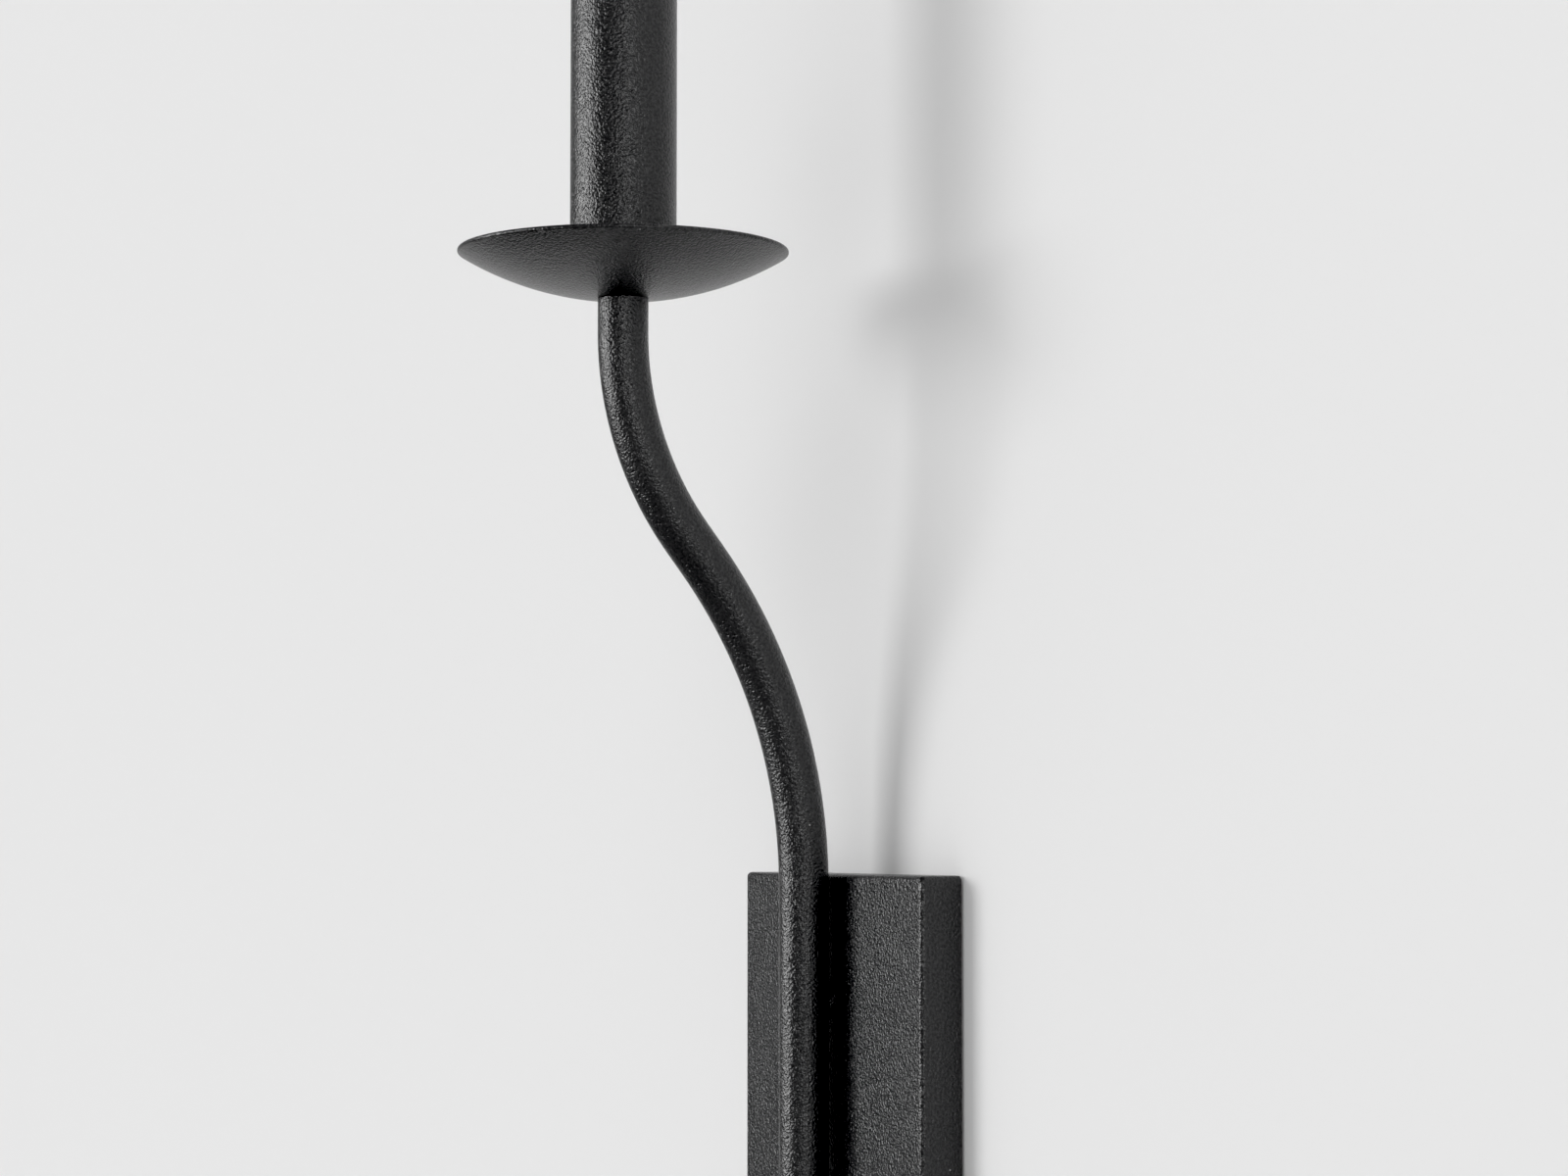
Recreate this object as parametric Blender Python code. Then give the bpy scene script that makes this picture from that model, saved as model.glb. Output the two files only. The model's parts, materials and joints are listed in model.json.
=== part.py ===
"""Wall sconce candle holder, as an assembly of separate pieces.

The origin is on the wall, behind the middle of the back plate. X runs along the wall, the front
faces -Y and Z points up. Lengths are in metres.
"""
import bpy
import bmesh
import math
from mathutils import Matrix

# Clearances
GAP = 0.0003               # left between two pieces that touch on the real object
THREAD_GAP = 0.0003        # left around a thread, on the radius

# Back plate: a steel box open towards the wall
PLATE_WIDTH = 0.092
PLATE_HEIGHT = 0.180
PLATE_FRONT = 0.0115       # front face to wall
RIM_TO_WALL = 0.0005       # the open rim doesn't rub on the wall
SHEET = 0.002
EDGE_RADIUS = 0.0012

# Arm: round rod, vertical at both ends, with an S bend between
ROD_RADIUS = 0.0061        # 12 mm bar and its coating
ARM_STANDOFF = 0.001       # rod to the plate's front face
ARM_END_INSET = 0.012      # lower end of the rod above the plate's lower edge
LOWER_BEND_RADIUS = 0.127
UPPER_BEND_RADIUS = 0.078
BEND_ANGLE = math.radians(38.5)
BEND_BELOW_EDGE = 0.003    # the lower bend starts this far under the plate's upper edge
ROD_CHAMFER = 0.0004
DISH_REACH = 0.0675        # dish and tube axis to wall

# Drip dish: a spherical cap of sheet steel
DISH_RADIUS = 0.0396
DISH_DEPTH = 0.0109
DISH_SHEET = 0.0012
DISH_RIM_HEIGHT = 0.149    # rim above the plate's upper edge

# Candle tube, its spigot and the seat for the candle
TUBE_RADIUS = 0.01285      # 25.5 mm tube and its coating
TUBE_BORE_RADIUS = 0.01125
TUBE_LENGTH = 0.100
TUBE_EDGE = 0.0004
SEAT_DEPTH = 0.030         # candle socket depth
SEAT_SHEET = 0.0012
SEAT_SKIRT = 0.006
SPIGOT_HEIGHT = 0.018
SPIGOT_FLOOR = 0.003
SPIGOT_WALL = 0.0015

# Stud, washers and nut between arm and spigot (M6)
STUD_RADIUS = 0.003
STUD_IN_ARM = 0.0145
STUD_PAST_NUT = 0.0022
STUD_WASHER_RADIUS = 0.006
STUD_WASHER_THICKNESS = 0.0014
LOCK_WASHER_RADIUS = 0.0055
LOCK_WASHER_THICKNESS = 0.0015
LOCK_WASHER_SPLIT = math.radians(10)
STUD_NUT_WIDTH = 0.010
STUD_NUT_HEIGHT = 0.005

# Button head screws: sizes of head and socket as shares of the thread's radius
HEAD_RADIUS_SHARE = 1.9
HEAD_HEIGHT_SHARE = 1.1
HEAD_DOME = math.radians(60)
SOCKET_WIDTH_SHARE = 1.25
SOCKET_DEPTH_SHARE = 0.6

# Screws, washers and spacers between plate and arm (M4)
SCREW_RADIUS = 0.002
ARM_SCREW_INSET = 0.031    # screw axis to the plate's upper or lower edge
ARM_SCREW_LENGTH = 0.0147
ARM_HOLE_DEPTH = 0.008
WASHER_RADIUS = 0.0045
WASHER_THICKNESS = 0.0008
SPACER_RADIUS = 0.0045
SPACER_REGISTER_RADIUS = 0.003

# Doubler plate behind the front sheet, hanger cleat and wall bracket
DOUBLER_WIDTH = 0.030
DOUBLER_HALF_HEIGHT = 0.066
DOUBLER_THICKNESS = 0.003
BRACKET_WIDTH = 0.044
BRACKET_SHEET = 0.002
LIP_TOP = 0.038            # height of the edge that the cleat hangs on
LIP_HEIGHT = 0.010
LIP_BACK = 0.0032          # back of the lip to the wall
JOGGLE = 0.004             # height of the slope between panel and lip
TAB_BOTTOM = -0.074
TAB_DEPTH = 0.0086
WALL_HOLE_RADIUS = 0.0026
WALL_HOLE_HEIGHT = 0.012
WALL_SLOT_HEIGHT = -0.040
WALL_SLOT_TRAVEL = 0.006
CLEAT_WIDTH = 0.036
CLEAT_BACK = 0.0008
CLEAT_LEG = 0.012

# Lock screw in the bracket's lower tab, and its nut (M3)
LOCK_SCREW_RADIUS = 0.0015
LOCK_SCREW_FROM_WALL = 0.0055
LOCK_SCREW_LENGTH = 0.0225
BRACKET_NUT_WIDTH = 0.0055
BRACKET_NUT_HEIGHT = 0.0024

# Fineness of round shapes
FINE_STEPS = 48
CAP_STEPS = 8
RIM_STEPS = 4
LOWER_BEND_STEPS = 13
UPPER_BEND_STEPS = 12
DOME_STEPS = 4
ROD_STEPS = 32
SMALL_STEPS = 24
SMOOTH_ANGLE = math.radians(35)
MERGE = 1e-6

# Worked out from the sizes above
PLATE_TOP = PLATE_HEIGHT / 2
ARM_AXIS = PLATE_FRONT + ARM_STANDOFF + ROD_RADIUS
ARM_BOTTOM = ARM_END_INSET - PLATE_TOP
DISH_RIM = PLATE_TOP + DISH_RIM_HEIGHT
DISH_BOTTOM = DISH_RIM - DISH_DEPTH
DISH_SPHERE = (DISH_RADIUS ** 2 + DISH_DEPTH ** 2) / (2 * DISH_DEPTH)
DISH_INNER_SPHERE = DISH_SPHERE - DISH_SHEET
DISH_CENTRE = DISH_BOTTOM + DISH_SPHERE
ARM_TOP = DISH_BOTTOM - GAP
SCREW_HOLE_RADIUS = SCREW_RADIUS + THREAD_GAP
LOCK_HOLE_RADIUS = LOCK_SCREW_RADIUS + THREAD_GAP
STUD_HOLE_RADIUS = STUD_RADIUS + THREAD_GAP
SPIGOT_RADIUS = TUBE_BORE_RADIUS - GAP
ARM_SCREW_HEIGHTS = {"upper": PLATE_TOP - ARM_SCREW_INSET, "lower": ARM_SCREW_INSET - PLATE_TOP}
DOUBLER_BACK = PLATE_FRONT - SHEET - GAP - DOUBLER_THICKNESS
LEG_FRONT = DOUBLER_BACK - GAP


def clear_scene():
    for obj in list(bpy.data.objects):
        bpy.data.objects.remove(obj, do_unlink=True)


def paint(name, colour, roughness, metallic):
    material = bpy.data.materials.new(name)
    material.use_nodes = True
    shader = material.node_tree.nodes["Principled BSDF"]
    shader.inputs["Base Color"].default_value = (*colour, 1.0)
    shader.inputs["Roughness"].default_value = roughness
    shader.inputs["Metallic"].default_value = metallic
    return material


def frame(name, location, parent=None):
    """An empty that carries the pieces of one body."""
    empty = bpy.data.objects.new(name, None)
    bpy.context.collection.objects.link(empty)
    empty.location = location
    hold(empty, parent)
    return empty


def hold(obj, parent):
    """Parent without moving: the frames have no rotation, so the offset is a plain shift."""
    if parent is not None:
        obj.parent = parent
        obj.matrix_parent_inverse = Matrix.Translation(-parent.location)


def piece(name, bm, material, parent, location=(0, 0, 0), towards_front=False):
    """Make an object of a bmesh; towards_front turns its +Z to the front, -Y."""
    bmesh.ops.recalc_face_normals(bm, faces=bm.faces)
    mesh = bpy.data.meshes.new(name)
    bm.to_mesh(mesh)
    bm.free()
    mesh.shade_smooth()
    mesh.set_sharp_from_angle(angle=SMOOTH_ANGLE)
    obj = bpy.data.objects.new(name, mesh)
    bpy.context.collection.objects.link(obj)
    obj.location = location
    if towards_front:
        obj.rotation_euler = (math.radians(90), 0, 0)
    if material is not None:
        mesh.materials.append(material)
    hold(obj, parent)
    return obj


def cutter(name, bm, parent, location=(0, 0, 0), towards_front=False):
    obj = piece(name, bm, None, parent, location, towards_front)
    obj.hide_render = True
    obj.display_type = 'WIRE'
    return obj


def cut(target, tool):
    boolean = target.modifiers.new(tool.name, 'BOOLEAN')
    boolean.operation = 'DIFFERENCE'
    boolean.solver = 'EXACT'
    boolean.object = tool


def box(low, high):
    bm = bmesh.new()
    size = [b - a for a, b in zip(low, high)]
    middle = [(a + b) / 2 for a, b in zip(low, high)]
    bmesh.ops.create_cube(bm, size=1.0)
    bmesh.ops.scale(bm, vec=size, verts=bm.verts)
    bmesh.ops.translate(bm, vec=middle, verts=bm.verts)
    return bm


def turned(outline, steps=SMALL_STEPS):
    """A solid of revolution about Z. An outline that starts and ends on the axis is left open."""
    bm = bmesh.new()
    verts = [bm.verts.new((radius, 0, height)) for radius, height in outline]
    pairs = list(zip(verts, verts[1:]))
    if outline[0][0] > MERGE or outline[-1][0] > MERGE:
        pairs.append((verts[-1], verts[0]))
    edges = [bm.edges.new(pair) for pair in pairs]
    bmesh.ops.spin(bm, geom=verts + edges, axis=(0, 0, 1), cent=(0, 0, 0),
                   angle=math.tau, steps=steps, use_merge=True)
    bmesh.ops.remove_doubles(bm, verts=bm.verts, dist=MERGE)
    return bm


def cylinder(radius, low, high, steps=SMALL_STEPS):
    return turned([(0, low), (radius, low), (radius, high), (0, high)], steps)


def ring(inner, outer, low, high, steps=SMALL_STEPS):
    return turned([(inner, low), (outer, low), (outer, high), (inner, high)], steps)


def prism(corners, width):
    """An outline of (depth from the wall, height) points, extruded across X."""
    bm = bmesh.new()
    verts = [bm.verts.new((-width / 2, -depth, height)) for depth, height in corners]
    face = bm.faces.new(verts)
    side = bmesh.ops.extrude_face_region(bm, geom=[face])
    moved = [item for item in side["geom"] if isinstance(item, bmesh.types.BMVert)]
    bmesh.ops.translate(bm, vec=(width, 0, 0), verts=moved)
    return bm


def hexagon(width, low, high):
    """A hexagonal prism about Z, width across its flats, with two flats facing Y."""
    bm = bmesh.new()
    radius = width / math.sqrt(3)
    bmesh.ops.create_circle(bm, cap_ends=True, segments=6, radius=radius,
                            matrix=Matrix.Translation((0, 0, low)) @ Matrix.Rotation(math.radians(30), 4, 'Z'))
    side = bmesh.ops.extrude_face_region(bm, geom=list(bm.faces))
    moved = [item for item in side["geom"] if isinstance(item, bmesh.types.BMVert)]
    bmesh.ops.translate(bm, vec=(0, 0, high - low), verts=moved)
    return bm


def arc(centre, radius, start, end, steps):
    """Points (across, up) on an arc about a centre, angles counted from across."""
    points = []
    for step in range(steps + 1):
        angle = start + (end - start) * step / steps
        points.append((centre[0] + radius * math.cos(angle), centre[1] + radius * math.sin(angle)))
    return points


def make_back_plate(coat, fixture):
    half = PLATE_WIDTH / 2
    bm = box((-half, -PLATE_FRONT, -PLATE_TOP), (half, -RIM_TO_WALL, PLATE_TOP))
    at_rim = -RIM_TO_WALL - MERGE
    round_edges = [edge for edge in bm.edges if min(vert.co.y for vert in edge.verts) < at_rim]
    bmesh.ops.bevel(bm, geom=round_edges, offset=EDGE_RADIUS, segments=4, profile=0.5, affect='EDGES')
    plate = piece("back_plate", bm, coat, fixture)
    inner = half - SHEET
    hollow = box((-inner, SHEET - PLATE_FRONT, SHEET - PLATE_TOP), (inner, SHEET, PLATE_TOP - SHEET))
    cut(plate, cutter("plate_hollow", hollow, fixture))
    for end, height in ARM_SCREW_HEIGHTS.items():
        hole = cylinder(SPACER_REGISTER_RADIUS + GAP, PLATE_FRONT - 2 * SHEET, PLATE_FRONT + SHEET)
        cut(plate, cutter("register_hole_" + end, hole, fixture, (0, 0, height), towards_front=True))
    hole = cylinder(LOCK_HOLE_RADIUS, -2 * SHEET, 2 * SHEET)
    cut(plate, cutter("lock_screw_hole", hole, fixture, (0, -LOCK_SCREW_FROM_WALL, -PLATE_TOP)))


def make_doubler_plate(coat, fixture):
    half = DOUBLER_WIDTH / 2
    low = (-half, -DOUBLER_BACK - DOUBLER_THICKNESS, -DOUBLER_HALF_HEIGHT)
    high = (half, -DOUBLER_BACK, DOUBLER_HALF_HEIGHT)
    doubler = piece("doubler_plate", box(low, high), coat, fixture)
    for end, height in ARM_SCREW_HEIGHTS.items():
        hole = cylinder(SCREW_HOLE_RADIUS, DOUBLER_BACK - SHEET, PLATE_FRONT)
        cut(doubler, cutter("doubler_hole_" + end, hole, fixture, (0, 0, height), towards_front=True))


def make_hanger_cleat(coat, fixture):
    """Front leg up the doubler, a web over the bracket's lip and a hook down behind it."""
    under = LIP_TOP + GAP
    over = under + BRACKET_SHEET
    foot = under - LIP_HEIGHT + BRACKET_SHEET
    hook_front = CLEAT_BACK + BRACKET_SHEET
    leg_back = LEG_FRONT - BRACKET_SHEET
    corners = [(CLEAT_BACK, foot), (CLEAT_BACK, over), (leg_back, over), (leg_back, under + CLEAT_LEG),
               (LEG_FRONT, under + CLEAT_LEG), (LEG_FRONT, under), (hook_front, under), (hook_front, foot)]
    piece("hanger_cleat", prism(corners, CLEAT_WIDTH), coat, fixture)


def make_wall_bracket(zinc):
    """A strap bent into a lip at its upper end and a tab at its lower end."""
    lip_front = LIP_BACK + BRACKET_SHEET
    lip_foot = LIP_TOP - LIP_HEIGHT
    slope_drop = BRACKET_SHEET * math.tan(math.atan2(LIP_BACK, JOGGLE) / 2)
    tab_top = TAB_BOTTOM + BRACKET_SHEET
    corners = [(0, TAB_BOTTOM), (0, lip_foot - JOGGLE), (LIP_BACK, lip_foot), (LIP_BACK, LIP_TOP),
               (lip_front, LIP_TOP), (lip_front, lip_foot - slope_drop),
               (BRACKET_SHEET, lip_foot - JOGGLE - slope_drop), (BRACKET_SHEET, tab_top),
               (TAB_DEPTH, tab_top), (TAB_DEPTH, TAB_BOTTOM)]
    bracket = piece("wall_bracket", prism(corners, BRACKET_WIDTH), zinc, None)
    hole = cylinder(WALL_HOLE_RADIUS, -SHEET, 2 * SHEET)
    cut(bracket, cutter("wall_hole", hole, None, (0, 0, WALL_HOLE_HEIGHT), towards_front=True))
    cut(bracket, cutter("wall_slot", slot(WALL_HOLE_RADIUS, WALL_SLOT_TRAVEL, -SHEET, 2 * SHEET), None,
                        (0, 0, WALL_SLOT_HEIGHT), towards_front=True))
    hole = cylinder(LOCK_HOLE_RADIUS, -BRACKET_SHEET, 2 * BRACKET_SHEET)
    cut(bracket, cutter("tab_hole", hole, None, (0, -LOCK_SCREW_FROM_WALL, TAB_BOTTOM)))


def slot(radius, travel, low, high):
    """A long hole: two half circles, apart by the travel along X, and the flats between them."""
    right = arc((travel / 2, 0), radius, -math.pi / 2, math.pi / 2, SMALL_STEPS // 2)
    left = arc((-travel / 2, 0), radius, math.pi / 2, 3 * math.pi / 2, SMALL_STEPS // 2)
    bm = bmesh.new()
    face = bm.faces.new([bm.verts.new((across, up, low)) for across, up in right + left])
    side = bmesh.ops.extrude_face_region(bm, geom=[face])
    moved = [item for item in side["geom"] if isinstance(item, bmesh.types.BMVert)]
    bmesh.ops.translate(bm, vec=(0, 0, high - low), verts=moved)
    return bm


def make_nut(name, material, parent, location, width, height, bore):
    nut = piece(name, hexagon(width, 0, height), material, parent, location)
    hole = cylinder(bore, -height, 2 * height)
    cut(nut, cutter(name + "_bore", hole, parent, location))


def arm_line():
    """Centre line of the rod as (distance forward, height, lean from vertical) from its lower end up."""
    reach = DISH_REACH - ARM_AXIS
    both_radii = LOWER_BEND_RADIUS + UPPER_BEND_RADIUS
    run = (reach - both_radii * (1 - math.cos(BEND_ANGLE))) / math.sin(BEND_ANGLE)
    bend_start = PLATE_TOP - BEND_BELOW_EDGE - ARM_BOTTOM
    line = [(0, 0, 0)]
    for step in range(LOWER_BEND_STEPS + 1):
        lean = BEND_ANGLE * step / LOWER_BEND_STEPS
        line.append((LOWER_BEND_RADIUS * (1 - math.cos(lean)),
                     bend_start + LOWER_BEND_RADIUS * math.sin(lean), lean))
    forward = line[-1][0] + run * math.sin(BEND_ANGLE)
    height = line[-1][1] + run * math.cos(BEND_ANGLE)
    for step in range(UPPER_BEND_STEPS + 1):
        lean = BEND_ANGLE * (1 - step / UPPER_BEND_STEPS)
        line.append((forward + UPPER_BEND_RADIUS * (math.cos(lean) - math.cos(BEND_ANGLE)),
                     height + UPPER_BEND_RADIUS * (math.sin(BEND_ANGLE) - math.sin(lean)), lean))
    line.append((reach, ARM_TOP - ARM_BOTTOM, 0))
    return line


def rod_ring(bm, forward, height, lean, radius):
    verts = []
    for step in range(ROD_STEPS):
        angle = math.tau * step / ROD_STEPS
        across = radius * math.cos(angle)
        out = radius * math.sin(angle)
        verts.append(bm.verts.new((across, -forward - out * math.cos(lean), height - out * math.sin(lean))))
    return verts


def make_arm(coat, fixture):
    line = arm_line()
    bm = bmesh.new()
    foot, top = line[0], line[-1]
    rings = [rod_ring(bm, *foot, ROD_RADIUS - ROD_CHAMFER),
             rod_ring(bm, foot[0], foot[1] + ROD_CHAMFER, 0, ROD_RADIUS)]
    rings += [rod_ring(bm, *point, ROD_RADIUS) for point in line[1:-1]]
    rings += [rod_ring(bm, top[0], top[1] - ROD_CHAMFER, 0, ROD_RADIUS),
              rod_ring(bm, *top, ROD_RADIUS - ROD_CHAMFER)]
    for low, high in zip(rings, rings[1:]):
        for index in range(ROD_STEPS):
            follow = (index + 1) % ROD_STEPS
            bm.faces.new((low[index], low[follow], high[follow], high[index]))
    bm.faces.new(rings[0][::-1])
    bm.faces.new(rings[-1])
    arm = piece("arm", bm, coat, fixture, (0, -ARM_AXIS, ARM_BOTTOM))
    for end, height in ARM_SCREW_HEIGHTS.items():
        back = ARM_AXIS - ROD_RADIUS
        hole = cylinder(SCREW_HOLE_RADIUS, back - ARM_STANDOFF, back + ARM_HOLE_DEPTH)
        cut(arm, cutter("arm_hole_" + end, hole, fixture, (0, 0, height), towards_front=True))
    hole = cylinder(STUD_HOLE_RADIUS, -STUD_IN_ARM - GAP, GAP)
    cut(arm, cutter("stud_hole", hole, fixture, (0, -DISH_REACH, ARM_TOP)))


def make_arm_fixings(coat, zinc, fixture):
    """At each end of the plate: a saddle spacer, and a screw with its washer from behind."""
    front = PLATE_FRONT + GAP
    saddle = cylinder(ROD_RADIUS + GAP, -PLATE_TOP, PLATE_TOP, FINE_STEPS)
    saddle = cutter("rod_saddle", saddle, fixture, (0, -ARM_AXIS, 0))
    register_end = PLATE_FRONT - SHEET + GAP / 2
    washer_front = DOUBLER_BACK - GAP
    washer_back = washer_front - WASHER_THICKNESS
    for end, height in ARM_SCREW_HEIGHTS.items():
        place = (0, 0, height)
        outline = [(SCREW_HOLE_RADIUS, register_end), (SPACER_REGISTER_RADIUS, register_end),
                   (SPACER_REGISTER_RADIUS, front), (SPACER_RADIUS, front),
                   (SPACER_RADIUS, ARM_AXIS), (SCREW_HOLE_RADIUS, ARM_AXIS)]
        spacer = piece("arm_spacer_" + end, turned(outline), coat, fixture, place, towards_front=True)
        cut(spacer, saddle)
        washer = ring(SCREW_HOLE_RADIUS, WASHER_RADIUS, washer_back, washer_front)
        piece("arm_washer_" + end, washer, zinc, fixture, place, towards_front=True)
        bearing = (0, GAP - washer_back, height)
        make_screw("arm_screw_" + end, zinc, fixture, bearing, SCREW_RADIUS, ARM_SCREW_LENGTH,
                   towards_front=True)


def make_screw(name, material, parent, location, radius, length, towards_front):
    """Button head below the bearing face at local Z 0, shank above it, hexagon socket in the head."""
    head_radius = radius * HEAD_RADIUS_SHARE
    head_height = radius * HEAD_HEIGHT_SHARE
    dome = []
    for step in range(DOME_STEPS + 1):
        angle = HEAD_DOME * (1 - step / DOME_STEPS)
        drop = head_height * math.sin(angle) / math.sin(HEAD_DOME)
        dome.append((head_radius * math.cos(angle), -drop))
    shank = [(radius, 0), (radius, length - ROD_CHAMFER), (radius - ROD_CHAMFER, length)]
    outline = [(0, -head_height), *dome, *shank, (0, length)]
    screw = piece(name, turned(outline), material, parent, location, towards_front)
    socket_floor = radius * SOCKET_DEPTH_SHARE - head_height
    socket = hexagon(radius * SOCKET_WIDTH_SHARE, -2 * head_height, socket_floor)
    cut(screw, cutter(name + "_socket", socket, parent, location, towards_front))


def cap_height(sphere, radius):
    """Height of the dish's spherical surface above the sphere's centre, below which it lies."""
    return -math.sqrt(sphere ** 2 - radius ** 2)


def cap_arc(sphere, inner, outer):
    """Points (radius, height above the dish's centre of curvature) from inner to outer radius."""
    first, last = math.asin(inner / sphere), math.asin(outer / sphere)
    points = []
    for step in range(CAP_STEPS + 1):
        angle = first + (last - first) * step / CAP_STEPS
        points.append((sphere * math.sin(angle), -sphere * math.cos(angle)))
    return points


def make_drip_dish(coat, fixture):
    rim_angle = math.asin(DISH_RADIUS / DISH_SPHERE)
    under = cap_arc(DISH_SPHERE, STUD_HOLE_RADIUS, DISH_RADIUS)
    inside = cap_arc(DISH_INNER_SPHERE, STUD_HOLE_RADIUS, DISH_INNER_SPHERE * math.sin(rim_angle))
    half = DISH_SHEET / 2
    middle = DISH_SPHERE - half
    centre = (middle * math.sin(rim_angle), -middle * math.cos(rim_angle))
    edge = arc(centre, half, rim_angle - math.pi / 2, rim_angle + math.pi / 2, RIM_STEPS)
    outline = under[:-1] + edge + inside[::-1][1:]
    piece("drip_dish", turned(outline, FINE_STEPS), coat, fixture, (0, -DISH_REACH, DISH_CENTRE))


def make_tube_spigot(zinc, fixture):
    """A cup whose underside follows the dish; the tube slips over its wall."""
    under_sphere = DISH_INNER_SPHERE - GAP
    under = cap_arc(under_sphere, STUD_HOLE_RADIUS, SPIGOT_RADIUS)
    floor = SPIGOT_FLOOR - under_sphere
    top = SPIGOT_HEIGHT - under_sphere
    inner = SPIGOT_RADIUS - SPIGOT_WALL
    outline = under + [(SPIGOT_RADIUS, top - TUBE_EDGE), (SPIGOT_RADIUS - TUBE_EDGE, top), (inner, top),
                       (inner, floor), (STUD_HOLE_RADIUS, floor)]
    piece("tube_spigot", turned(outline), zinc, fixture, (0, -DISH_REACH, DISH_CENTRE))
    return DISH_CENTRE + floor


def make_stud_stack(zinc, fixture, floor):
    """Washer, split lock washer and nut on the stud, upwards from the spigot's floor."""
    axis = (0, -DISH_REACH)
    base = floor + GAP
    washer = ring(STUD_HOLE_RADIUS, STUD_WASHER_RADIUS, 0, STUD_WASHER_THICKNESS)
    piece("stud_washer", washer, zinc, fixture, (*axis, base))
    base += STUD_WASHER_THICKNESS + GAP
    piece("stud_lock_washer", split_ring(), zinc, fixture, (*axis, base))
    base += LOCK_WASHER_THICKNESS + GAP
    make_nut("stud_nut", zinc, fixture, (*axis, base), STUD_NUT_WIDTH, STUD_NUT_HEIGHT, STUD_HOLE_RADIUS)
    stud_foot = ARM_TOP - STUD_IN_ARM
    length = base + STUD_NUT_HEIGHT + STUD_PAST_NUT - stud_foot
    tip = STUD_RADIUS - ROD_CHAMFER
    outline = [(0, 0), (tip, 0), (STUD_RADIUS, ROD_CHAMFER), (STUD_RADIUS, length - ROD_CHAMFER),
               (tip, length), (0, length)]
    piece("stud", turned(outline), zinc, fixture, (*axis, stud_foot))


def split_ring():
    bm = bmesh.new()
    corners = [(STUD_HOLE_RADIUS, 0), (LOCK_WASHER_RADIUS, 0),
               (LOCK_WASHER_RADIUS, LOCK_WASHER_THICKNESS), (STUD_HOLE_RADIUS, LOCK_WASHER_THICKNESS)]
    start = bm.faces.new([bm.verts.new((radius, 0, height)) for radius, height in corners])
    bmesh.ops.spin(bm, geom=[start, *start.edges, *start.verts], axis=(0, 0, 1), cent=(0, 0, 0),
                   angle=math.tau - LOCK_WASHER_SPLIT, steps=SMALL_STEPS)
    return bm


def make_candle_tube(coat, tube_frame, bottom):
    length, edge = TUBE_LENGTH, TUBE_EDGE
    outline = [(TUBE_BORE_RADIUS, 0), (TUBE_RADIUS, 0), (TUBE_RADIUS, length - edge),
               (TUBE_RADIUS - edge, length), (TUBE_BORE_RADIUS + edge, length), (TUBE_BORE_RADIUS, length - edge)]
    piece("candle_tube", turned(outline, FINE_STEPS), coat, tube_frame, (0, -DISH_REACH, bottom))


def make_candle_seat(zinc, tube_frame, top):
    """A pressed disc with a skirt that grips the bore; the candle stands on it."""
    radius = TUBE_BORE_RADIUS - GAP
    inner = radius - SEAT_SHEET
    outline = [(0, 0), (radius - TUBE_EDGE, 0), (radius, -TUBE_EDGE), (radius, -SEAT_SKIRT),
               (inner, -SEAT_SKIRT), (inner, -SEAT_SHEET), (0, -SEAT_SHEET)]
    piece("candle_seat", turned(outline, FINE_STEPS), zinc, tube_frame, (0, -DISH_REACH, top))


def build():
    clear_scene()
    coat = paint("black_powder_coat", (0.022, 0.022, 0.023), 0.48, 0.0)
    zinc = paint("zinc_plated_steel", (0.62, 0.63, 0.64), 0.35, 1.0)
    dark = paint("blackened_steel", (0.03, 0.03, 0.032), 0.38, 0.6)

    make_wall_bracket(zinc)
    nut_place = (0, -LOCK_SCREW_FROM_WALL, TAB_BOTTOM + BRACKET_SHEET + GAP)
    make_nut("bracket_nut", zinc, None, nut_place, BRACKET_NUT_WIDTH, BRACKET_NUT_HEIGHT, LOCK_HOLE_RADIUS)
    screw_place = (0, -LOCK_SCREW_FROM_WALL, -PLATE_TOP - GAP)
    make_screw("lock_screw", dark, None, screw_place, LOCK_SCREW_RADIUS, LOCK_SCREW_LENGTH,
               towards_front=False)

    fixture = frame("fixture_frame", (0, 0, LIP_TOP))
    make_back_plate(coat, fixture)
    make_doubler_plate(coat, fixture)
    make_hanger_cleat(coat, fixture)
    make_arm(coat, fixture)
    make_arm_fixings(coat, zinc, fixture)
    make_drip_dish(coat, fixture)
    floor = make_tube_spigot(zinc, fixture)
    make_stud_stack(zinc, fixture, floor)

    tube_bottom = DISH_CENTRE + cap_height(DISH_INNER_SPHERE, TUBE_RADIUS) + GAP
    tube_frame = frame("tube_frame", (0, -DISH_REACH, tube_bottom), fixture)
    make_candle_tube(coat, tube_frame, tube_bottom)
    make_candle_seat(zinc, tube_frame, tube_bottom + TUBE_LENGTH - SEAT_DEPTH)


build()
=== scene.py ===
"""Looks of the wall sconce candle holder: fine meshes, finishes, light and camera.

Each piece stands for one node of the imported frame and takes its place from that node's box.
Lengths are in metres. The wall is the plane Y = 0, the front faces -Y and Z points up.
"""
import json
import math

import bmesh
import bpy
from mathutils import Matrix, Vector


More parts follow.
